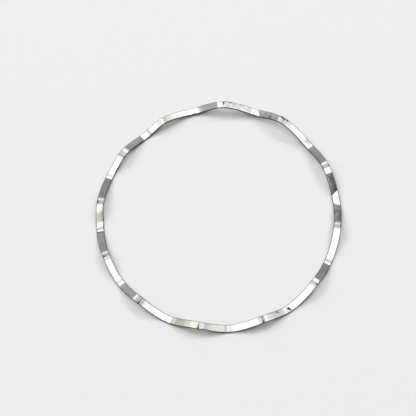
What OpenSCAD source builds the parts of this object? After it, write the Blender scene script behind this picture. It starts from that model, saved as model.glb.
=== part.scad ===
// Wave-form spacer ring for a watch movement.
// One closed ring of thin bright steel, pressed into waves that run once round it.
// The ring lies on the undersides of its troughs, at z = 0, and its axis is the Z axis.
// Along one side it is bent up a little, so that the troughs there stand clear of the table.

/* [Ring] */
// Outside diameter of the ring
ring_od = 30; // [24:0.5:40]
// Width of the flat section, from the inner edge to the outer edge
ring_w = 0.9; // [0.6:0.02:1.6]
// Thickness of the steel sheet
sheet_t = 0.2; // [0.1:0.01:0.3]

/* [Waves] */
// Number of waves round the ring
wave_n = 12; // [6:1:14]
// Height that a crest stands above a trough
wave_rise = 0.76; // [0.4:0.02:1]
// Length of the level land on each crest, along the middle of the section
crest_land = 0.3; // [0.1:0.05:0.6]
// Length of the level land in each trough, along the middle of the section
trough_land = 0.6; // [0.2:0.05:0.8]
// Radius of the bends beside each crest, at the middle of the sheet
crest_bend_r = 2.2; // [0.6:0.1:2.6]
// Radius of the bends beside each trough, at the middle of the sheet
trough_bend_r = 1.6; // [0.6:0.1:2.6]

/* [Spacing of the waves] */
// Direction of the first crest, in degrees from +X
first_crest = 76; // [0:1:360]
// How far the crests drift from even places, once round the ring, in degrees
drift_once = 3.9; // [0:0.1:5]
// Where that drift is greatest, in degrees of even spacing
drift_once_at = 15; // [0:1:360]
// How far the crests drift from even places, twice round the ring, in degrees
drift_twice = 1; // [0:0.1:1.5]
// Where that drift is greatest, in degrees of even spacing
drift_twice_at = 18; // [0:1:180]

/* [Bend of the whole ring] */
// How far the ring is bent up out of level, at the highest place of the bend
bend_up = 0.48; // [0:0.02:0.8]
// Direction of that place, in degrees from +X
bend_at = 50; // [0:1:360]
// How far the bend reaches round the ring to each side of that place, in degrees
bend_reach = 68; // [40:1:120]

/* [Press nicks] */
// Width of the nick that the press leaves across each crest, at the outer edge
nick_w = 0.2; // [0.1:0.02:0.3]
// Depth of each nick at the outer edge
nick_depth = 0.06; // [0.02:0.01:0.08]
// Length of each nick, from the outer edge inwards
nick_len = 0.5; // [0.2:0.05:0.55]

/* [Hidden] */

outer_r = ring_od / 2;
inner_r = outer_r - ring_w;
middle_r = outer_r - ring_w / 2;
free_height = wave_rise + sheet_t;

// Half a wave, measured along the middle of the section
pitch = 2 * PI * middle_r / wave_n;
half_pitch = pitch / 2;

// The slope at which both bends and the straight between them give the rise in half a wave
bends_r = crest_bend_r + trough_bend_r;
run = half_pitch - crest_land / 2 - trough_land / 2;
slope = asin(bends_r / norm([run, bends_r - wave_rise])) - atan2(bends_r - wave_rise, run);

// Steps along each bend and along each straight slope
bend_steps = 4;
slope_steps = 3;

// Room that the pressed sheet has beyond the round walls, before it is cut to them
trim = 1;

// Middle of the sheet where a bend has turned through a degrees: [distance, height, slope]
function crest_bend(a) = [
    crest_land / 2 + crest_bend_r * sin(a),
    sheet_t / 2 + wave_rise - crest_bend_r * (1 - cos(a)),
    a
];
function trough_bend(a) = [
    half_pitch - trough_land / 2 - trough_bend_r * sin(a),
    sheet_t / 2 + trough_bend_r * (1 - cos(a)),
    a
];

// From a crest's land down to a trough's land
function fall() = [
    for (i = [0 : bend_steps]) crest_bend(slope * i / bend_steps),
    for (i = [1 : slope_steps - 1])
        crest_bend(slope) + (trough_bend(slope) - crest_bend(slope)) * i / slope_steps,
    for (i = [bend_steps : -1 : 0]) trough_bend(slope * i / bend_steps)
];

// The same stretch mirrored, from the trough's land up to the next crest's land
function climb() = [
    for (i = [len(fall()) - 1 : -1 : 0])
        [pitch - fall()[i][0], fall()[i][1], -fall()[i][2]]
];

function wave() = concat(fall(), climb());

// Point on one face of the sheet, half a thickness from its middle along the normal
function on_face(p, side) = [
    p[0] + side * sin(p[2]) * sheet_t / 2,
    p[1] + side * cos(p[2]) * sheet_t / 2
];

// Direction in which a ruling of the waves points, w waves after the first crest
function ruling(w) =
    let (even = 360 * w / wave_n)
    first_crest + even
        + drift_once * cos(even - drift_once_at)
        + drift_twice * cos(2 * (even - drift_twice_at));

// How far the bend of the whole ring lifts the sheet in direction a
function lift(a) =
    let (off = abs((a - bend_at + 540) % 360 - 180))
    off < bend_reach ? bend_up * (1 + cos(180 * off / bend_reach)) / 2 : 0;

// Point on a ruling at radius r, for a point p of the profile in wave number k
function on_ruling(k, p, r) =
    let (a = ruling(k + p[0] / pitch))
    [r * cos(a), r * sin(a), p[1] + lift(a)];

// Two triangles that cover the patch a, b, c, d
function patch(a, b, c, d) = [[a, b, c], [a, c, d]];

// The sheet pressed into waves, before its round edges are cut
module pressed_sheet() {
    profile = wave();
    low_r = inner_r - trim;
    high_r = outer_r + trim;
    points = [
        for (k = [0 : wave_n - 1])
            for (p = profile)
                for (corner = [[1, low_r], [1, high_r], [-1, high_r], [-1, low_r]])
                    on_ruling(k, on_face(p, corner[0]), corner[1])
    ];
    count = wave_n * len(profile);
    faces = [
        for (i = [0 : count - 1])
            for (side = [0 : 3])
                let (
                    here = 4 * i,
                    next = 4 * ((i + 1) % count),
                    far = (side + 1) % 4
                )
                each patch(here + side, next + side, next + far, here + far)
    ];
    polyhedron(points = points, faces = faces, convexity = 4 * wave_n);
}

// The round band between the inner and the outer edge, taller than the waves
module edge_band() {
    band_height = free_height + bend_up + 2 * trim;
    difference() {
        translate([0, 0, -trim]) cylinder(h = band_height, r = outer_r, $fn = 360);
        translate([0, 0, -2 * trim]) cylinder(h = band_height + 2 * trim, r = inner_r, $fn = 360);
    }
}

// Outline of the nick's cutter, a V whose flanks go on rising past the surface
module nick_outline() {
    top = 3 * nick_depth;
    half_w = top * nick_w / 2 / nick_depth;
    polygon([[0, 0], [half_w, top], [-half_w, top]]);
}

// A V-shaped cutter that is deepest at the outer edge and runs out inwards
module nick() {
    translate([outer_r, 0, free_height - nick_depth])
        rotate([0, atan2(nick_depth, nick_len), 0])
            rotate([90, 0, -90])
                translate([0, 0, -nick_len])
                    linear_extrude(height = 3 * nick_len) nick_outline();
}

// The finished ring
module spacer_ring() {
    color([0.78, 0.79, 0.79])
        difference() {
            intersection() {
                edge_band();
                pressed_sheet();
            }
            for (k = [0 : wave_n - 1])
                rotate([0, 0, ruling(k)]) translate([0, 0, lift(ruling(k))]) nick();
        }
}

spacer_ring();
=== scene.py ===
"""A thin steel ring pressed into waves, lying on pale paper under a soft overhead light."""

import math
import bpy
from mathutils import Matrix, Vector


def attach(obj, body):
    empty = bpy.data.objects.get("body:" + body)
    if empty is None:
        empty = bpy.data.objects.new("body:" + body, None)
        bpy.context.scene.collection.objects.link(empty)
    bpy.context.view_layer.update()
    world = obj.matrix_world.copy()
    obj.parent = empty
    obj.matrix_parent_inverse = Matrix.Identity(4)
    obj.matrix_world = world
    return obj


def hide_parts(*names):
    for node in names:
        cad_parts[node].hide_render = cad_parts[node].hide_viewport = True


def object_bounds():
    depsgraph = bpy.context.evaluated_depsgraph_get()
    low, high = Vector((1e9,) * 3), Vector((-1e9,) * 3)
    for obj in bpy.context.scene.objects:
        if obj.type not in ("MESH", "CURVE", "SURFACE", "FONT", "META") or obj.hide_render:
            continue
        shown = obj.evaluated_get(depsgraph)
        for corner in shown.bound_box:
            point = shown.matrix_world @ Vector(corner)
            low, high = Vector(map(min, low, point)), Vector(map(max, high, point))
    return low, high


bl_info = {
    "name": "Waved Spacer Ring",
    "version": (1, 0, 0),
    "blender": (4, 5, 0),
    "location": "View3D > Sidebar > Spacer Ring",
    "description": "Builds a waved steel spacer ring and the stage that it lies on",
    "category": "Add Mesh",
}

from typing import NamedTuple

import bpy
import numpy as np
from bpy.props import (
    FloatProperty,
    FloatVectorProperty,
    IntProperty,
    PointerProperty,
)
from bpy.types import Operator, Panel, PropertyGroup
from mathutils import Matrix, Vector

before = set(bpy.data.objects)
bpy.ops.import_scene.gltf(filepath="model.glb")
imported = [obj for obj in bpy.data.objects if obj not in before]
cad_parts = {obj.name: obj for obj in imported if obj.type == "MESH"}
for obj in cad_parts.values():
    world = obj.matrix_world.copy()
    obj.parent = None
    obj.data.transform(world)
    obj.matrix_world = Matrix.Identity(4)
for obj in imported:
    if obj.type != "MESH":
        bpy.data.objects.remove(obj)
CAD_LOW, CAD_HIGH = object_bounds()

NODE = "spacer_ring"
MM = 0.001


# Properties


class RingSizes(PropertyGroup):
    """Sizes of the flat section and of the waves pressed into it."""

    outer_diameter: FloatProperty(
        name="Outside diameter",
        description="Diameter of the ring's outer edge",
        default=CAD_HIGH.x - CAD_LOW.x,
        min=0.02,
        max=0.04,
        precision=5,
        unit="LENGTH",
    )
    width: FloatProperty(
        name="Width",
        description="Width of the flat section, from the inner to the outer edge",
        default=0.9 * MM,
        min=0.6 * MM,
        max=1.6 * MM,
        precision=5,
        unit="LENGTH",
    )
    sheet: FloatProperty(
        name="Sheet thickness",
        description="Thickness of the steel sheet",
        default=0.2 * MM,
        min=0.1 * MM,
        max=0.3 * MM,
        precision=5,
        unit="LENGTH",
    )
    corner: FloatProperty(
        name="Corner radius",
        description="Radius of the section's four corners",
        default=0.04 * MM,
        min=0.005 * MM,
        max=0.05 * MM,
        precision=5,
        unit="LENGTH",
    )
    waves: IntProperty(
        name="Waves",
        description="Number of waves round the ring",
        default=12,
        min=6,
        max=14,
    )
    rise: FloatProperty(
        name="Rise",
        description="Height that a crest stands above a trough",
        default=0.76 * MM,
        min=0.4 * MM,
        max=1.0 * MM,
        precision=5,
        unit="LENGTH",
    )
    crest_land: FloatProperty(
        name="Crest land",
        description="Length of the level land on each crest",
        default=0.3 * MM,
        min=0.1 * MM,
        max=0.6 * MM,
        precision=5,
        unit="LENGTH",
    )
    trough_land: FloatProperty(
        name="Trough land",
        description="Length of the level land in each trough",
        default=0.6 * MM,
        min=0.2 * MM,
        max=0.8 * MM,
        precision=5,
        unit="LENGTH",
    )
    crest_bend: FloatProperty(
        name="Crest bend",
        description="Radius of the bends beside each crest, at the middle of the sheet",
        default=2.2 * MM,
        min=0.6 * MM,
        max=2.6 * MM,
        precision=5,
        unit="LENGTH",
    )
    trough_bend: FloatProperty(
        name="Trough bend",
        description="Radius of the bends beside each trough, at the middle of the sheet",
        default=1.6 * MM,
        min=0.6 * MM,
        max=2.6 * MM,
        precision=5,
        unit="LENGTH",
    )
    first_crest: FloatProperty(
        name="First crest",
        description="Direction of the first crest, from the X axis",
        default=math.radians(76),
        subtype="ANGLE",
    )
    drift_once: FloatProperty(
        name="Drift once round",
        description="How far the crests drift from even places, once round the ring",
        default=math.radians(3.9),
        subtype="ANGLE",
    )
    drift_once_at: FloatProperty(
        name="Drift once round at",
        description="Where the drift once round the ring is greatest",
        default=math.radians(15),
        subtype="ANGLE",
    )
    drift_twice: FloatProperty(
        name="Drift twice round",
        description="How far the crests drift from even places, twice round the ring",
        default=math.radians(1),
        subtype="ANGLE",
    )
    drift_twice_at: FloatProperty(
        name="Drift twice round at",
        description="Where the drift twice round the ring is greatest",
        default=math.radians(18),
        subtype="ANGLE",
    )
    bend_up: FloatProperty(
        name="Bend up",
        description="How far the whole ring is bent up out of level, at the highest place",
        default=0.48 * MM,
        min=0.0,
        max=0.8 * MM,
        precision=5,
        unit="LENGTH",
    )
    bend_at: FloatProperty(
        name="Bend at",
        description="Direction of the highest place of the bend, from the X axis",
        default=math.radians(50),
        subtype="ANGLE",
    )
    bend_reach: FloatProperty(
        name="Bend reach",
        description="How far the bend reaches round the ring to each side of that place",
        default=math.radians(68),
        subtype="ANGLE",
    )


class RingMarks(PropertyGroup):
    """Sizes of what the press and handling left on the ring."""

    lobe: FloatProperty(
        name="Lobe",
        description="Half of how far the ring is bent in from round, at three places",
        default=0.113 * MM,
        min=0.0,
        max=0.3 * MM,
        precision=5,
        unit="LENGTH",
    )
    lobe_at: FloatProperty(
        name="Lobe at",
        description="Direction in which the ring stands furthest out, from the X axis",
        default=math.radians(64),
        subtype="ANGLE",
    )
    bend_in: FloatProperty(
        name="Bend in",
        description="How far the ring is drawn in where it is bent up the most",
        default=0.14 * MM,
        min=0.0,
        max=0.4 * MM,
        precision=5,
        unit="LENGTH",
    )
    nick_width: FloatProperty(
        name="Nick width",
        description="Width of the press nick across a crest, at the outer edge",
        default=0.32 * MM,
        min=0.1 * MM,
        max=0.4 * MM,
        precision=5,
        unit="LENGTH",
    )
    nick_depth: FloatProperty(
        name="Nick depth",
        description="Depth of the deepest press nick, at the outer edge",
        default=0.06 * MM,
        min=0.0,
        max=0.08 * MM,
        precision=5,
        unit="LENGTH",
    )
    dent: FloatProperty(
        name="Dent",
        description="How far the outer edge is pushed in beside one crest",
        default=0.08 * MM,
        min=0.0,
        max=0.2 * MM,
        precision=5,
        unit="LENGTH",
    )
    # The dark rim is partly the dull rolled-over edge and partly painted shade, standing in for the
    # dark outline of contact shadow along both edges
    rim: FloatProperty(
        name="Dark rim",
        description="Width of the dull rolled-over rim along both edges of each face",
        default=0.08 * MM,
        min=0.02 * MM,
        max=0.2 * MM,
        precision=5,
        unit="LENGTH",
    )
    crease_depth: FloatProperty(
        name="Crease depth",
        description="Depth of the dull crease that the press left across a crest or a trough",
        default=0.004 * MM,
        min=0.0,
        max=0.03 * MM,
        precision=6,
        unit="LENGTH",
    )


class SteelFinish(PropertyGroup):
    """Colours and gloss of the steel."""

    steel: FloatVectorProperty(
        name="Steel",
        description="Colour of the bright rolled face",
        default=(0.64, 0.64, 0.62),
        min=0.0,
        max=1.0,
        size=3,
        subtype="COLOR",
    )
    # Near-black edge colour: partly the dull sheared steel, partly painted shade for the contact
    # shadow and the shaded paper that the edges mirror
    sheared_and_shaded: FloatVectorProperty(
        name="Sheared edge",
        description="Colour of the dark sheared edges",
        default=(0.022, 0.022, 0.021),
        min=0.0,
        max=1.0,
        size=3,
        subtype="COLOR",
    )
    straw: FloatVectorProperty(
        name="Straw tint",
        description="Colour of the tints that handling left on some slopes",
        default=(0.40, 0.385, 0.30),
        min=0.0,
        max=1.0,
        size=3,
        subtype="COLOR",
    )
    haze: FloatVectorProperty(
        name="Straw haze",
        description="Colour of the light haze that handling left on one slope",
        default=(0.66, 0.645, 0.56),
        min=0.0,
        max=1.0,
        size=3,
        subtype="COLOR",
    )
    dull: FloatVectorProperty(
        name="Dull crease",
        description="Colour of the creases that the press left, and of the smudges",
        default=(0.16, 0.16, 0.15),
        min=0.0,
        max=1.0,
        size=3,
        subtype="COLOR",
    )
    dirt: FloatVectorProperty(
        name="Dirt",
        description="Colour of the specks and of the dirt in the nicks",
        default=(0.02, 0.02, 0.02),
        min=0.0,
        max=1.0,
        size=3,
        subtype="COLOR",
    )
    anisotropy: FloatProperty(
        name="Anisotropy",
        description="How far the rolling lines stretch the highlights",
        default=0.3,
        min=0.0,
        max=1.0,
        subtype="FACTOR",
    )


class StageSettings(PropertyGroup):
    """Paper, light and camera."""

    paper: FloatVectorProperty(
        name="Paper",
        description="Colour of the paper that the ring lies on",
        default=(0.80, 0.81, 0.80),
        min=0.0,
        max=1.0,
        size=3,
        subtype="COLOR",
    )
    room_left: FloatVectorProperty(
        name="Room at the left",
        description="Light from the room on the left of the soft lights",
        default=(0.61, 0.615, 0.61),
        min=0.0,
        max=1.0,
        size=3,
        subtype="COLOR",
    )
    room_right: FloatVectorProperty(
        name="Room at the right",
        description="Light from the room on the right of the soft lights",
        default=(0.275, 0.278, 0.275),
        min=0.0,
        max=1.0,
        size=3,
        subtype="COLOR",
    )
    room_near: FloatProperty(
        name="Room on the near side",
        description="Share of the room's light that comes from over the near side",
        default=0.2,
        min=0.0,
        max=1.0,
        subtype="FACTOR",
    )
    light_height: FloatProperty(
        name="Light height",
        description="Height of the soft lights above the paper, which sets their sizes too",
        default=1.0,
        min=0.05,
        max=3.0,
        unit="LENGTH",
    )
    main_glow: FloatProperty(
        name="Main glow",
        description="Radiance of the main soft lights",
        default=1.66,
        min=0.0,
        max=20.0,
    )
    side_glow: FloatProperty(
        name="Side glow",
        description="Radiance of the weaker soft lights at the right of the main ones",
        default=1.25,
        min=0.0,
        max=20.0,
    )
    fade_glow: FloatProperty(
        name="Fade glow",
        description="Radiance of the dim outer edges of the soft lights",
        default=0.85,
        min=0.0,
        max=20.0,
    )
    glint_glow: FloatProperty(
        name="Glint glow",
        description="Radiance of a small dim light beyond the others",
        default=0.38,
        min=0.0,
        max=20.0,
    )
    key_glow: FloatProperty(
        name="Key glow",
        description="Radiance of the two lights at the back that cast the ring's shadow",
        default=9.2,
        min=0.0,
        max=20.0,
    )
    panel_glow: FloatProperty(
        name="Panel glow",
        description="Radiance of the low panel on the near side, which only the steel mirrors",
        default=0.62,
        min=0.0,
        max=20.0,
    )
    elevation: FloatProperty(
        name="Camera elevation",
        description="Height of the camera above the horizon, as an angle",
        default=math.radians(67.8),
        subtype="ANGLE",
    )
    roll: FloatProperty(
        name="Camera roll",
        description="Turn of the picture about its own centre, anticlockwise",
        default=math.radians(8.0),
        subtype="ANGLE",
    )
    distance: FloatProperty(
        name="Camera distance",
        description="Distance from the camera to the point that it looks at",
        default=0.1161,
        min=0.05,
        max=1.0,
        precision=4,
        unit="LENGTH",
    )
    lens: FloatProperty(
        name="Lens",
        description="Focal length of the camera, on a 36 mm sensor, in millimetres",
        default=82.2,
        min=20.0,
        max=200.0,
    )


# What the press left of each wave


class Wave(NamedTuple):
    """One wave, seen from the ring's axis, with its left side anticlockwise.

    The turns are how far the wave's five bend lines stand from their even places, in degrees
    clockwise: the foot and the head on the right, the crest, and the head and the foot on the
    left. A slant is how much further a foot line is turned at the inner edge than at the outer.
    The nick is a share of the deepest one, and its reach inwards is a share of the width.
    The shifts are how far the crest, and the trough on its left, stand out from the round, in mm.
    """

    turns: tuple
    slants: tuple = (0.0, 0.0)
    nick: float = 1.0
    reach: float = 0.5
    shifts: tuple = (0.0, 0.0)


WAVES = (
    Wave((2.0, 0.6, 0.9, 0.4, 0.85), slants=(0.0, 1.3), reach=0.65, shifts=(0.06, 0.05)),
    Wave((0.8, 0.8, 0.0, 0.5, 1.3), nick=0.0, shifts=(-0.03, -0.07)),
    Wave((1.9, 1.35, -0.2, 0.3, 1.5), nick=0.0, shifts=(0.005, 0.13)),
    Wave((1.9, 0.15, -0.2, 0.3, 1.3), slants=(0.0, 1.6), nick=0.8, reach=0.35, shifts=(0.025, 0.135)),
    Wave((1.4, -0.22, -0.3, 0.3, 0.7), nick=0.9, shifts=(-0.04, 0.04)),
    Wave((0.75, 1.22, 0.3, 0.3, 0.3), nick=0.65, reach=1.0, shifts=(-0.01, 0.055)),
    Wave((0.7, 1.3, -0.1, 0.1, 0.3), nick=0.62, reach=0.95, shifts=(-0.025, -0.01)),
    Wave((0.4, 0.2, 0.0, -0.2, 1.3), nick=0.8, reach=0.6, shifts=(-0.06, -0.015)),
    Wave((0.8, 0.0, -0.2, 0.3, 0.88), nick=0.65, shifts=(-0.04, -0.025)),
    Wave((0.8, 0.1, -0.3, 0.4, 1.2), slants=(0.0, -0.9), nick=0.0, shifts=(0.015, 0.105)),
    Wave((0.5, 1.2, 0.4, 0.6, 0.7), slants=(2.0, 0.3), nick=0.4, reach=0.25, shifts=(0.07, 0.0)),
    Wave((0.7, 0.2, 0.55, 0.4, 0.7), slants=(0.0, 2.0), shifts=(0.035, -0.05)),
)


class Crease(NamedTuple):
    """A dull line that the press left across the ring: its place in waves from the first crest,
    how strong it is, its reach to the right and to the left in mm, and how much of the width it
    covers, from the outer edge. From 1.3 on it covers the whole width."""

    wave: float
    strength: float
    right: float
    left: float
    cover: float = 2.0


CREASES = (
    Crease(11.955, 0.38, 0.9, 0.78),
    Crease(0.99, 0.74, 0.3, 0.5),
    Crease(0.96, 0.32, 0.6, 0.8),
    Crease(2.0, 0.68, 0.5, 0.7),
    Crease(2.02, 0.85, 0.14, 0.14),
    Crease(3.005, 0.8, 0.45, 0.62),
    Crease(2.97, 0.4, 0.3, 0.2),
    Crease(4.005, 0.72, 0.62, 0.88),
    Crease(5.01, 0.72, 1.0, 0.75),
    Crease(6.01, 0.5, 0.2, 0.25),
    Crease(6.0, 0.42, 0.5, 0.75),
    Crease(6.09, 0.22, 0.6, 1.1),
    Crease(7.004, 0.62, 0.25, 0.35),
    Crease(6.97, 0.55, 0.42, 0.6),
    Crease(7.985, 0.6, 0.3, 0.48),
    Crease(7.97, 0.38, 0.45, 0.6),
    Crease(8.997, 0.7, 0.54, 0.35),
    Crease(9.05, 0.4, 0.3, 0.3),
    Crease(10.01, 0.74, 0.38, 0.36),
    Crease(11.006, 0.62, 0.2, 0.2),
    Crease(10.975, 0.5, 0.55, 0.3),
    Crease(11.03, 0.38, 0.3, 0.3),
    Crease(1.385, 0.25, 0.3, 0.25),
    Crease(2.49, 0.52, 0.25, 0.36),
    Crease(3.505, 0.65, 0.3, 0.4),
    Crease(4.515, 0.38, 0.45, 0.35),
    Crease(5.49, 0.3, 0.45, 0.5),
    Crease(6.47, 0.42, 0.8, 0.75),
    Crease(7.46, 0.3, 0.35, 0.3),
    Crease(8.466, 0.6, 0.3, 0.45),
    Crease(9.495, 0.3, 0.6, 0.5, 0.7),
    Crease(10.51, 0.5, 0.7, 0.6, 0.8),
)


# What handling left on the top face


class Mark(NamedTuple):
    """A speck or a stain: its place in waves from the first crest, and as a share of the width
    from the inner edge, half its length and half its breadth in millimetres, and how strong."""

    wave: float
    across: float
    length: float
    breadth: float
    strength: float = 1.0


# Dark specks, and dirt at the edges
SPECKS = (
    Mark(11.885, 1.05, 0.2, 0.28),
    Mark(11.04, 1.04, 0.32, 0.34),
    Mark(10.94, 1.04, 0.24, 0.34),
    Mark(10.98, 1.05, 0.7, 0.2),
    Mark(9.01, 1.04, 0.3, 0.22),
    Mark(8.06, 1.02, 0.24, 0.2, 0.8),
    Mark(7.5, 0.78, 0.1, 0.16, 0.9),
    Mark(7.492, 0.66, 0.11, 0.2, 0.9),
    Mark(7.483, 0.5, 0.2, 0.26, 0.95),
    Mark(7.0, 0.25, 0.2, 0.2, 0.35),
    Mark(3.58, 0.6, 0.13, 0.75, 0.8),
    Mark(3.0, 0.95, 0.2, 0.3, 0.7),
    Mark(0.515, 0.06, 0.14, 0.18, 0.7),
)

# Straw tints
STAINS = (
    Mark(3.295, 0.5, 0.85, 1.6, 0.85),
    Mark(1.385, 0.5, 0.45, 1.6, 0.42),
    Mark(1.13, 0.5, 0.8, 1.6, 0.1),
    Mark(2.06, 0.5, 0.45, 1.6, 0.4),
    Mark(2.3, 0.5, 1.2, 1.6, 0.15),
)

# A light straw haze on one slope
HAZES = (
    Mark(5.615, 0.5, 0.45, 1.6),
    Mark(5.73, 0.5, 1.4, 1.6, 0.25),
    Mark(5.888, 0.5, 0.78, 1.6),
)

# Dull grey smudges
SMUDGES = (
    Mark(7.26, 0.5, 0.9, 1.6, 0.2),
    Mark(7.28, 0.2, 0.3, 0.3, 0.7),
    Mark(7.03, 0.3, 0.9, 0.6, 0.1),
    Mark(11.75, 0.6, 1.1, 1.2, 0.45),
    Mark(11.58, 0.5, 0.85, 1.6, 0.45),
    Mark(11.28, 0.5, 0.9, 1.6, 0.75),
    Mark(9.2, 0.5, 1.05, 1.6, 0.6),
    Mark(8.23, 0.5, 1.3, 1.6, 0.25),
    Mark(3.84, 0.5, 0.8, 1.6, 0.25),
    Mark(1.495, 0.4, 0.3, 0.5, 0.3),
    Mark(6.25, 0.5, 1.9, 1.4, 0.15),
    Mark(10.9, 0.5, 0.6, 0.8, 0.15),
)


# Shape of the ring


# Number of places at which the ring is bent in from round
LOBES = 3

# Middle and half length of the dent in the outer edge, in waves
DENT_AT = 6.11
DENT_REACH = 0.11

# Least distance that the outer edge keeps inside the outside diameter
LEAST_INSET = 0.002 * MM

# Width of a press nick where it runs out, as a share of its width at the outer edge
NICK_TAPER = 0.25

# How much dirt there is in a nick of full depth, where 1 covers the steel
NICK_DIRT = 1.6

# Share of the width over which a crease fades out, and how full it is: over 1, its middle is flat
CREASE_FADE = 0.3
CREASE_FULLNESS = 1.5

# Columns of the mesh in each wave, and steps across the parts of the section
COLUMNS = 150
TOP_STEPS = 20
BOTTOM_STEPS = 8
WALL_STEPS = 2
CORNER_STEPS = 2

# How much denser the columns are at a crest than elsewhere, beyond once as dense, and how far
# that reaches, in waves
CREST_EXTRA = 2.5
CREST_REACH = 0.03

# Places in a wave at which the density of its columns is summed
DENSITY_SAMPLES = 4001


def wave_slope(ring, pitch):
    """The slope at which both bends and the straight between them give the rise in half a wave."""
    bends = ring.crest_bend + ring.trough_bend
    run = pitch / 2 - ring.crest_land / 2 - ring.trough_land / 2
    return math.asin(bends / math.hypot(run, bends - ring.rise)) - math.atan2(bends - ring.rise, run)


def wave_lines(ring, pitch):
    """Distances from a crest to the head and to the foot of its slopes."""
    sine = math.sin(wave_slope(ring, pitch))
    head = ring.crest_land / 2 + ring.crest_bend * sine
    foot = pitch / 2 - ring.trough_land / 2 - ring.trough_bend * sine
    return head, foot


def wave_height(ring, from_crest, pitch):
    """Height and slope of the sheet's middle at distances from the nearest crest."""
    slope = wave_slope(ring, pitch)
    steepest = math.sin(slope)
    head, foot = wave_lines(ring, pitch)
    low = ring.sheet / 2
    top = ring.rise + low
    away = np.abs(from_crest)
    crest_turn = np.arcsin(np.clip((away - ring.crest_land / 2) / ring.crest_bend, 0, steepest))
    to_trough_land = pitch / 2 - ring.trough_land / 2 - away
    trough_turn = np.arcsin(np.clip(to_trough_land / ring.trough_bend, 0, steepest))
    straight = top - ring.crest_bend * (1 - math.cos(slope)) - (away - head) * math.tan(slope)
    height = np.where(away <= head, top - ring.crest_bend * (1 - np.cos(crest_turn)), straight)
    height = np.where(away >= foot, low + ring.trough_bend * (1 - np.cos(trough_turn)), height)
    turn = np.where(away <= head, crest_turn, slope)
    turn = np.where(away >= foot, trough_turn, turn)
    return height, turn * np.sign(from_crest)


def ruling(ring, place):
    """Direction of the waves' ruling at places, in waves after the first crest."""
    even = 2 * math.pi * place / ring.waves
    once = ring.drift_once * np.cos(even - ring.drift_once_at)
    twice = ring.drift_twice * np.cos(2 * (even - ring.drift_twice_at))
    return ring.first_crest + even + once + twice


def wave_rows(ring):
    """The row of each wave of the ring. They begin again where it has more waves than WAVES."""
    return [WAVES[k % len(WAVES)] for k in range(ring.waves)]


def per_wave(ring, name, wave):
    """One value of each wave's row, spread over the columns."""
    return np.array([getattr(row, name) for row in wave_rows(ring)])[wave]


def bend_line_turns(ring, place, share, pitch):
    """How far the ruling is turned by the press at places, in waves after the first crest."""
    head, foot = wave_lines(ring, pitch)
    in_wave = np.array([-foot, -head, 0, head, foot]) / pitch
    lines = np.concatenate([k + in_wave for k in range(ring.waves)])
    turns = np.concatenate([row.turns for row in wave_rows(ring)])
    slants = np.concatenate([(row.slants[0], 0, 0, 0, row.slants[1]) for row in wave_rows(ring)])
    turn = np.interp(place, lines, turns, period=ring.waves)
    slant = np.interp(place, lines, slants, period=ring.waves)
    return -np.radians(turn + slant * (0.5 - share))


def column_places():
    """Places of the mesh's columns in one wave, from -0.5 to 0.5, closer together at the crest."""
    fine = np.linspace(-0.5, 0.5, DENSITY_SAMPLES)
    density = 1 + CREST_EXTRA * np.exp(-((fine / CREST_REACH) ** 2))
    total = np.concatenate([[0], np.cumsum((density[1:] + density[:-1]) / 2)])
    wanted = np.linspace(0, total[-1], COLUMNS + 1)[:-1]
    return np.interp(wanted, total, fine)


def section(ring):
    """The closed outline of the section as (across, up), from the outer top corner round.

    The steps along its flats are shorter towards the corners.
    """
    half = ring.sheet / 2
    radius = ring.corner
    corners = [
        (ring.width - radius, half - radius, math.pi / 2),
        (ring.width - radius, radius - half, 0.0),
        (radius, radius - half, -math.pi / 2),
        (radius, half - radius, -math.pi),
    ]
    steps = [WALL_STEPS, BOTTOM_STEPS, WALL_STEPS, TOP_STEPS]
    arcs = []
    for x, y, start in corners:
        turns = start - np.linspace(0, math.pi / 2, CORNER_STEPS + 1)
        arcs.append([(x + radius * math.cos(turn), y + radius * math.sin(turn)) for turn in turns])
    points = []
    for arc, next_arc, count in zip(arcs, arcs[1:] + arcs[:1], steps):
        points += arc
        last = np.array(arc[-1])
        following = np.array(next_arc[0])
        for step in range(1, count):
            share = (1 - math.cos(math.pi * step / count)) / 2
            points.append(tuple(last + (following - last) * share))
    return np.array(points)


def bump(x):
    """A smooth bump, 1 at x = 0 and 0 from x = 1 outwards."""
    return np.where(np.abs(x) < 1, 0.5 + 0.5 * np.cos(np.pi * np.clip(x, -1, 1)), 0)


def soft_edge(x):
    """1 out to x = 0.5, and 0 from x = 1 outwards."""
    return np.clip(2 - 2 * x, 0, 1)


def bend_share(ring, angle):
    """How much of the whole ring's bend there is in a direction."""
    off = (angle - ring.bend_at + math.pi) % (2 * math.pi) - math.pi
    return bump(off / ring.bend_reach)


def stand_out(ring, place):
    """How far the ring stands out from the round at places, in waves after the first crest."""
    shifts = np.array([row.shifts for row in wave_rows(ring)]).ravel() * MM
    half = np.floor(2 * place).astype(int)
    share = 0.5 - 0.5 * np.cos(np.pi * (2 * place - half))
    return shifts[half % len(shifts)] * (1 - share) + shifts[(half + 1) % len(shifts)] * share


def inset(ring, press, place, share, angle):
    """How far the ring stands in from its outside diameter."""
    lobes = press.lobe * (1 - np.cos(LOBES * (angle - press.lobe_at)))
    dent = press.dent * share * bump((place - DENT_AT) / DENT_REACH)
    drawn_in = press.bend_in * bend_share(ring, angle)
    return np.maximum(lobes + dent + drawn_in - stand_out(ring, place), LEAST_INSET)


def away_from(ring, place, middle):
    """Waves from a mark's middle to each place, the short way round."""
    return (place - middle + ring.waves / 2) % ring.waves - ring.waves / 2


def nick_shape(ring, press, wave, from_crest, share):
    """How deep the press nicks are, as a share of the deepest: each is a vee that runs out inwards."""
    reach = per_wave(ring, "reach", wave)
    run_out = np.clip((share - 1 + reach) / reach, 0, 1)
    half_width = press.nick_width / 2 * (NICK_TAPER + (1 - NICK_TAPER) * run_out)
    vee = np.clip(1 - np.abs(from_crest) / half_width, 0, 1)
    return vee * np.sqrt(run_out) * per_wave(ring, "nick", wave)


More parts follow.
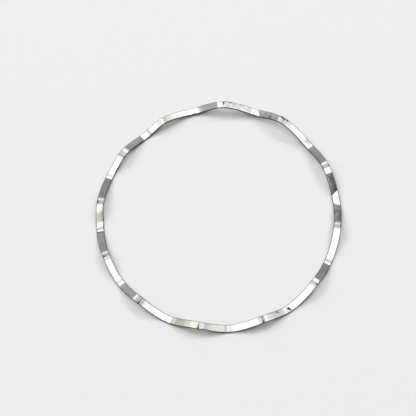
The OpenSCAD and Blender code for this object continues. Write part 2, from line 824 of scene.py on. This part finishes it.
def crease_shape(ring, place, share, pitch):
    """How strong the dull creases across the crests and the troughs are at each place."""
    total = np.zeros_like(share)
    for crease in CREASES:
        off = away_from(ring, place, crease.wave) * pitch
        reach = np.where(off > 0, crease.left, crease.right)
        shape = np.clip(CREASE_FULLNESS * bump(off / reach / MM), 0, 1)
        faded = np.clip((share - 1 + crease.cover) / CREASE_FADE, 0, 1)
        total = np.maximum(total, crease.strength * shape * faded)
    return total


def mark_shape(ring, marks, place, share, pitch):
    """How strongly the marks show at each place."""
    total = np.zeros_like(share)
    for mark in marks:
        along = away_from(ring, place, mark.wave) * pitch / (mark.length * MM)
        over = (share - mark.across) * ring.width / (mark.breadth * MM)
        total = np.maximum(total, mark.strength * soft_edge(np.hypot(along, over)))
    return total


def ring_points(ring, press):
    """Vertices, as columns by section points, and the marks that go with them."""
    middle_r = ring.outer_diameter / 2 - ring.width / 2
    pitch = 2 * math.pi * middle_r / ring.waves
    columns = column_places()
    outline = section(ring)
    wave = np.repeat(np.arange(ring.waves), len(columns))[:, None]
    from_crest = np.tile(columns, ring.waves)[:, None] * pitch
    across = np.broadcast_to(outline[:, 0], (len(from_crest), len(outline))).copy()
    up = np.broadcast_to(outline[:, 1], across.shape).copy()
    share = across / ring.width
    on_top = np.clip(up / ring.sheet + 0.5, 0, 1)

    nick = nick_shape(ring, press, wave, from_crest, share)
    crease = crease_shape(ring, wave + from_crest / pitch, share, pitch)
    up -= (nick * press.nick_depth + crease * press.crease_depth) * on_top

    height, turn = wave_height(ring, from_crest, pitch)
    place = wave + (from_crest + up * np.sin(turn)) / pitch
    angle = ruling(ring, place) + bend_line_turns(ring, place, share, pitch)
    radius = ring.outer_diameter / 2 - ring.width + across - inset(ring, press, place, share, angle)
    level = height + up * np.cos(turn) + ring.bend_up * bend_share(ring, angle)
    points = np.stack([radius * np.cos(angle), radius * np.sin(angle), level], axis=-1)

    top_face = up > 0
    from_edge = np.minimum(across, ring.width - across)
    dirt = np.maximum(np.clip(NICK_DIRT * nick, 0, 1), mark_shape(ring, SPECKS, place, share, pitch))
    marks = {
        # Dark band over the walls and the rims: partly dull sheared steel, partly painted shade
        "sheared_and_shaded": soft_edge(from_edge / press.rim),
        "crease": crease * top_face,
        "dirt": dirt * top_face,
        "straw": mark_shape(ring, STAINS, place, share, pitch) * top_face,
        "haze": mark_shape(ring, HAZES, place, share, pitch) * top_face,
        "smudge": mark_shape(ring, SMUDGES, place, share, pitch) * top_face,
        "across": across,
    }
    return points, marks


def ring_mesh(ring, press):
    """The ring as one closed mesh of quads, with its marks as vertex attributes."""
    points, marks = ring_points(ring, press)
    columns, rows = points.shape[:2]
    here = np.arange(columns * rows).reshape(columns, rows)
    on = np.roll(here, -1, axis=0)
    quads = np.stack([here, np.roll(here, -1, axis=1), np.roll(on, -1, axis=1), on], axis=-1)
    mesh = bpy.data.meshes.new("waved_ring")
    mesh.from_pydata(points.reshape(-1, 3).tolist(), [], quads.reshape(-1, 4).tolist())
    for name, values in marks.items():
        layer = mesh.attributes.new(name, "FLOAT", "POINT")
        layer.data.foreach_set("value", np.ascontiguousarray(values, dtype=np.float32).ravel())
    mesh.shade_smooth()
    mesh.update()
    return mesh


# Materials


# Range in which most of a noise's values lie, and a narrower one that makes it stand out more
NOISE_RANGE = (0.3, 0.7)
SHARP_RANGE = (0.35, 0.65)

# How many turns the steel's two noises make to the metre, along the ring and across it, and how
# many finer layers they have
LINES = {"along": 300.0, "across": 12000.0, "detail": 3.0}
CLOUDS = {"along": 900.0, "across": 1500.0, "detail": 2.0}

# How much each finer layer of those noises counts
LAYER_SHARE = 0.6

# How fine the streaks in the creases are, and how many finer layers they have
STREAK_SCALE = 90.0
STREAK_DETAIL = 1.0

# How fine the paper's tooth is, and how many finer layers it has
TOOTH_SCALE = 900.0
TOOTH_DETAIL = 4.0

# Darkest tone of the rolling lines and of the tooth, as a share of the plain colour
LINE_SHADE = 0.86
TOOTH_SHADE = 0.985

# Depth of the rolling lines and of the tooth, and how strongly they are drawn
LINE_DEPTH = 0.004 * MM
TOOTH_DEPTH = 0.05 * MM
RELIEF = 0.15

# How strong the straw tints, the smudges and the creases are at their faintest and their strongest
STRAW_PATCHES = (0.2, 1.3)
SMUDGE_PATCHES = (0.0, 1.5)
CREASE_PATCHES = (0.55, 1.35)

# Roughness of the steel from line to line, and what its cloudy patches add to it
LINE_ROUGHNESS = (0.10, 0.16)
CLOUD_ROUGHNESS = (-0.02, 0.04)

# What each kind of mark adds to the roughness
MARK_ROUGHNESS = {
    "crease": 0.25,
    "straw": 0.2,
    "haze": 0.3,
    "smudge": 0.05,
    "sheared_and_shaded": 0.35,
    "dirt": 0.4,
}

# Roughness and shine of the paper
PAPER_ROUGHNESS = 0.9
PAPER_SHINE = 0.2

# Sockets of a mix node that take its two colours, and the one that gives the result
MIX_A = 6
MIX_B = 7
MIX_RESULT = 2


def new_material(name):
    """An empty node material and its tree, with the shader already in place."""
    material = bpy.data.materials.new(name)
    material.use_nodes = True
    tree = material.node_tree
    return material, tree, tree.nodes["Principled BSDF"]


def node(tree, kind, **settings):
    """A new node with its settings."""
    made = tree.nodes.new(kind)
    for key, value in settings.items():
        setattr(made, key, value)
    return made


def attribute(tree, name):
    """The value of a vertex attribute."""
    return node(tree, "ShaderNodeAttribute", attribute_name=name).outputs["Fac"]


def object_place(tree):
    """The place on the object."""
    return node(tree, "ShaderNodeTexCoord").outputs["Object"]


def plug(tree, socket, value):
    """Link a socket into another, or set it to a number or a colour."""
    if isinstance(value, bpy.types.NodeSocket):
        tree.links.new(value, socket)
    elif hasattr(value, "__len__") and len(socket.default_value) == 4:
        socket.default_value = (*value, 1.0)
    else:
        socket.default_value = value


def blend(tree, factor, a, b):
    """Colour a turning to b as factor goes from 0 to 1."""
    mix = node(tree, "ShaderNodeMix", data_type="RGBA")
    plug(tree, mix.inputs["Factor"], factor)
    plug(tree, mix.inputs[MIX_A], a)
    plug(tree, mix.inputs[MIX_B], b)
    return mix.outputs[MIX_RESULT]


def math_node(tree, operation, a, b):
    """The result of an operation on two values."""
    made = node(tree, "ShaderNodeMath", operation=operation)
    plug(tree, made.inputs[0], a)
    plug(tree, made.inputs[1], b)
    return made.outputs[0]


def spread(tree, value, target, source=(0.0, 1.0)):
    """The value mapped from its source range to its target range."""
    made = node(tree, "ShaderNodeMapRange")
    plug(tree, made.inputs["Value"], value)
    made.inputs["From Min"].default_value, made.inputs["From Max"].default_value = source
    made.inputs["To Min"].default_value, made.inputs["To Max"].default_value = target
    return made.outputs["Result"]


def noise(tree, place, scale, detail, layer_share=0.5):
    """The value of a noise at a place."""
    made = node(tree, "ShaderNodeTexNoise")
    tree.links.new(place, made.inputs["Vector"])
    made.inputs["Scale"].default_value = scale
    made.inputs["Detail"].default_value = detail
    made.inputs["Roughness"].default_value = layer_share
    return made.outputs["Fac"]


def rolled_noise(tree, along, across, detail):
    """Noise stretched along the ring: how many turns it makes to the metre, each way."""
    parts = node(tree, "ShaderNodeSeparateXYZ")
    tree.links.new(object_place(tree), parts.inputs[0])
    place = node(tree, "ShaderNodeCombineXYZ")
    plug(tree, place.inputs["X"], math_node(tree, "MULTIPLY", parts.outputs["X"], along))
    plug(tree, place.inputs["Y"], math_node(tree, "MULTIPLY", parts.outputs["Y"], along))
    plug(tree, place.inputs["Z"], math_node(tree, "MULTIPLY", attribute(tree, "across"), across))
    return noise(tree, place.outputs[0], 1.0, detail, LAYER_SHARE)


def radial_streaks(tree):
    """Noise in fine streaks that run straight across the ring."""
    level = node(tree, "ShaderNodeVectorMath", operation="MULTIPLY")
    tree.links.new(object_place(tree), level.inputs[0])
    level.inputs[1].default_value = (1.0, 1.0, 0.0)
    outward = node(tree, "ShaderNodeVectorMath", operation="NORMALIZE")
    tree.links.new(level.outputs[0], outward.inputs[0])
    return noise(tree, outward.outputs[0], STREAK_SCALE, STREAK_DETAIL)


def uneven(tree, name, pattern, patches, source):
    """How strongly a mark shows, made uneven by a pattern spread from its source range."""
    return math_node(tree, "MULTIPLY", attribute(tree, name), spread(tree, pattern, patches, source))


def relief(tree, shader, height, depth):
    """Draw a height from 0 to 1 as relief of a depth."""
    bumps = node(tree, "ShaderNodeBump")
    bumps.inputs["Strength"].default_value = RELIEF
    bumps.inputs["Distance"].default_value = depth
    tree.links.new(height, bumps.inputs["Height"])
    tree.links.new(bumps.outputs["Normal"], shader.inputs["Normal"])


def steel_colour(tree, finish, lines, clouds):
    """Bright steel with darker rolling lines, then its tints and marks, one over another."""
    shaded = [LINE_SHADE * c for c in finish.steel]
    colour = blend(tree, spread(tree, lines, (0.0, 1.0), NOISE_RANGE), shaded, finish.steel)
    straw = uneven(tree, "straw", clouds, STRAW_PATCHES, NOISE_RANGE)
    colour = blend(tree, straw, colour, finish.straw)
    colour = blend(tree, attribute(tree, "haze"), colour, finish.haze)
    smudges = uneven(tree, "smudge", clouds, SMUDGE_PATCHES, SHARP_RANGE)
    colour = blend(tree, smudges, colour, finish.dull)
    creases = uneven(tree, "crease", radial_streaks(tree), CREASE_PATCHES, SHARP_RANGE)
    colour = blend(tree, creases, colour, finish.dull)
    # Painted shade along the edges, laid over the dull sheared steel
    colour = blend(tree, attribute(tree, "sheared_and_shaded"), colour, finish.sheared_and_shaded)
    return blend(tree, attribute(tree, "dirt"), colour, finish.dirt)


def steel_roughness(tree, lines, clouds):
    """Roughness from the rolling lines and the clouds, and more of it where there are marks."""
    of_lines = spread(tree, lines, LINE_ROUGHNESS, NOISE_RANGE)
    of_clouds = spread(tree, clouds, CLOUD_ROUGHNESS, NOISE_RANGE)
    rough = math_node(tree, "ADD", of_lines, of_clouds)
    for name, added in MARK_ROUGHNESS.items():
        of_marks = spread(tree, attribute(tree, name), (0.0, added))
        rough = math_node(tree, "ADD", rough, of_marks)
    return rough


def steel_material(finish):
    """Bright rolled steel with fine lines along the ring, dark edges that are partly painted shade,
    tints, creases and dirt.
    """
    material, tree, shader = new_material("bright_steel")
    lines = rolled_noise(tree, **LINES)
    clouds = rolled_noise(tree, **CLOUDS)
    tree.links.new(steel_colour(tree, finish, lines, clouds), shader.inputs["Base Color"])
    tree.links.new(steel_roughness(tree, lines, clouds), shader.inputs["Roughness"])
    relief(tree, shader, lines, LINE_DEPTH)
    tangent = node(tree, "ShaderNodeTangent", direction_type="RADIAL", axis="Z")
    tree.links.new(tangent.outputs["Tangent"], shader.inputs["Tangent"])
    shader.inputs["Metallic"].default_value = 1.0
    shader.inputs["Anisotropic"].default_value = finish.anisotropy
    return material


def paper_material(stage):
    """Pale uncoated paper with a faint tooth."""
    material, tree, shader = new_material("pale_paper")
    tooth = noise(tree, object_place(tree), TOOTH_SCALE, TOOTH_DETAIL)
    shaded = [TOOTH_SHADE * c for c in stage.paper]
    colour = blend(tree, spread(tree, tooth, (0.0, 1.0), NOISE_RANGE), shaded, stage.paper)
    tree.links.new(colour, shader.inputs["Base Color"])
    relief(tree, shader, tooth, TOOTH_DEPTH)
    shader.inputs["Roughness"].default_value = PAPER_ROUGHNESS
    shader.inputs["Specular IOR Level"].default_value = PAPER_SHINE
    return material


# Stage


class SoftLight(NamedTuple):
    """A soft box: its name, two corners of its rectangle, as shares of the light height, the
    setting that holds its radiance, and whether the steel mirrors it."""

    name: str
    low: tuple
    high: tuple
    glow: str
    mirrored: bool = True


# The soft boxes overhead, set back over the far side, and the two at the back that cast the shadow
OVERHEAD_LIGHTS = (
    SoftLight("main_light", (-0.68, -0.31), (0.2, 0.37), "main_glow"),
    SoftLight("far_light", (-0.46, 0.37), (0.36, 0.72), "main_glow"),
    SoftLight("near_light", (0.2, -0.125), (0.34, 0.15), "main_glow"),
    SoftLight("near_light_side", (0.34, -0.09), (0.5, 0.15), "main_glow"),
    SoftLight("side_light", (0.2, 0.15), (0.82, 0.37), "side_glow"),
    SoftLight("side_light_far", (0.36, 0.37), (0.85, 0.62), "side_glow"),
    SoftLight("corner_light", (0.36, 0.62), (0.56, 0.87), "main_glow"),
    SoftLight("side_fade", (0.56, 0.62), (0.86, 0.78), "fade_glow"),
    SoftLight("far_fade", (-0.38, 0.72), (0.36, 0.86), "fade_glow"),
    SoftLight("far_glint", (0.28, 0.94), (0.44, 1.17), "glint_glow"),
    SoftLight("key_left", (-1.4, 0.7), (-0.5, 1.2), "key_glow", mirrored=False),
    SoftLight("key_right", (0.5, 0.7), (1.4, 1.2), "key_glow", mirrored=False),
)

# The low panel on the near side, and the place of its middle, as shares of the light height
NEAR_PANEL = SoftLight("near_panel", (-1.3, -0.6), (1.3, 0.6), "panel_glow")
PANEL_PLACE = (0.0, -0.75, 0.6)

# The room darkens to the right over this range of a direction's X, and is at its full strength
# only from the end of this range of its Y
ROOM_ACROSS = (-0.45, 0.3)
ROOM_BACK = (-0.22, 0.0)

# Half the side of the sheet of paper
PAPER_HALF = 0.6

# Width of the camera's sensor in millimetres, and the nearest and the furthest that it sees
SENSOR = 36.0
NEAREST_SEEN = 0.001
FURTHEST_SEEN = 10.0

# The point that the camera looks at
AIM = (-1.18 * MM, 0.97 * MM, 0.2 * MM)


def add_object(name, data):
    """A new object in the scene."""
    made = bpy.data.objects.new(name, data)
    bpy.context.scene.collection.objects.link(made)
    return made


def make_floor(stage):
    """The sheet of paper, level with the undersides of the troughs."""
    mesh = bpy.data.meshes.new("paper")
    corners = [(x * PAPER_HALF, y * PAPER_HALF, 0) for x, y in ((-1, -1), (1, -1), (1, 1), (-1, 1))]
    mesh.from_pydata(corners, [], [(0, 1, 2, 3)])
    mesh.materials.append(paper_material(stage))
    add_object("paper", mesh)


def soft_light(stage, box):
    """A soft box that faces down from the light height."""
    lamp = bpy.data.lights.new(box.name, "AREA")
    lamp.shape = "RECTANGLE"
    lamp.size = (box.high[0] - box.low[0]) * stage.light_height
    lamp.size_y = (box.high[1] - box.low[1]) * stage.light_height
    lamp.energy = getattr(stage, box.glow) * math.pi * lamp.size * lamp.size_y
    light = add_object(box.name, lamp)
    middle = ((box.low[0] + box.high[0]) / 2, (box.low[1] + box.high[1]) / 2, 1.0)
    light.location = [share * stage.light_height for share in middle]
    light.visible_glossy = box.mirrored
    return light


def make_panel(stage):
    """A low upright panel that only the steel mirrors: neither the paper nor the camera sees it."""
    panel = soft_light(stage, NEAR_PANEL)
    panel.location = [share * stage.light_height for share in PANEL_PLACE]
    panel.rotation_euler = (math.radians(90), 0.0, 0.0)
    panel.visible_diffuse = False
    panel.visible_camera = False


def make_room(stage):
    """The light of the room itself, which is darker at the right and over the near side."""
    world = bpy.data.worlds.new("room")
    world.use_nodes = True
    tree = world.node_tree
    background = tree.nodes["Background"]
    parts = node(tree, "ShaderNodeSeparateXYZ")
    tree.links.new(node(tree, "ShaderNodeTexCoord").outputs["Generated"], parts.inputs[0])
    side = spread(tree, parts.outputs["X"], (0.0, 1.0), ROOM_ACROSS)
    colour = blend(tree, side, stage.room_left, stage.room_right)
    tree.links.new(colour, background.inputs["Color"])
    strength = spread(tree, parts.outputs["Y"], (stage.room_near, 1.0), ROOM_BACK)
    tree.links.new(strength, background.inputs["Strength"])
    bpy.context.scene.world = world


def make_camera(stage):
    """The camera, looking down on the ring from the near side."""
    data = bpy.data.cameras.new("camera")
    data.sensor_width = SENSOR
    data.lens = stage.lens
    data.clip_start = NEAREST_SEEN
    data.clip_end = FURTHEST_SEEN
    camera = add_object("camera", data)
    back = Vector((0.0, -math.cos(stage.elevation), math.sin(stage.elevation)))
    right = Vector((1.0, 0.0, 0.0))
    up = back.cross(right)
    turn = stage.roll
    across = right * math.cos(turn) - up * math.sin(turn)
    upward = right * math.sin(turn) + up * math.cos(turn)
    place = Matrix((across, upward, back)).transposed().to_4x4()
    place.translation = Vector(AIM) + back * stage.distance
    camera.matrix_world = place
    bpy.context.scene.camera = camera


# Operators


class MakeSpacerRing(Operator):
    """Build the waved ring in place of its plain solid"""

    bl_idname = "spacer_ring.make_ring"
    bl_label = "Make Spacer Ring"

    def execute(self, context):
        scene = context.scene
        ring = add_object("waved_ring", ring_mesh(scene.ring_sizes, scene.ring_marks))
        ring.data.materials.append(steel_material(scene.ring_finish))
        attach(ring, "root")
        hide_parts(NODE)
        return {"FINISHED"}


class MakeStage(Operator):
    """Lay the paper and set the lights and the camera"""

    bl_idname = "spacer_ring.make_stage"
    bl_label = "Make Stage"

    def execute(self, context):
        stage = context.scene.ring_stage
        make_floor(stage)
        for box in OVERHEAD_LIGHTS:
            soft_light(stage, box)
        make_panel(stage)
        make_room(stage)
        make_camera(stage)
        context.scene.view_settings.view_transform = "Standard"
        return {"FINISHED"}


class SpacerRingPanel(Panel):
    """Lists the steps that build the ring and its stage"""

    bl_idname = "VIEW3D_PT_spacer_ring"
    bl_label = "Spacer Ring"
    bl_space_type = "VIEW_3D"
    bl_region_type = "UI"
    bl_category = "Spacer Ring"

    def draw(self, context):
        for step in STEPS:
            self.layout.operator(step.bl_idname)
        for name, group in GROUPS.items():
            box = self.layout.box()
            for setting in group.__annotations__:
                box.prop(getattr(context.scene, name), setting)


STEPS = (MakeSpacerRing, MakeStage)
GROUPS = {
    "ring_sizes": RingSizes,
    "ring_marks": RingMarks,
    "ring_finish": SteelFinish,
    "ring_stage": StageSettings,
}


def register():
    """Register the classes, and give the scene its groups of settings."""
    for group in GROUPS.values():
        bpy.utils.register_class(group)
    for made in (*STEPS, SpacerRingPanel):
        bpy.utils.register_class(made)
    for name, group in GROUPS.items():
        setattr(bpy.types.Scene, name, PointerProperty(type=group))


def unregister():
    """Take back all that register gave, in reverse order."""
    for name in GROUPS:
        delattr(bpy.types.Scene, name)
    for made in (SpacerRingPanel, *reversed(STEPS)):
        bpy.utils.unregister_class(made)
    for group in reversed(list(GROUPS.values())):
        bpy.utils.unregister_class(group)


def main():
    """Build the ring and its stage."""
    register()
    bpy.ops.spacer_ring.make_ring()
    bpy.ops.spacer_ring.make_stage()


if __name__ == "__main__":
    main()
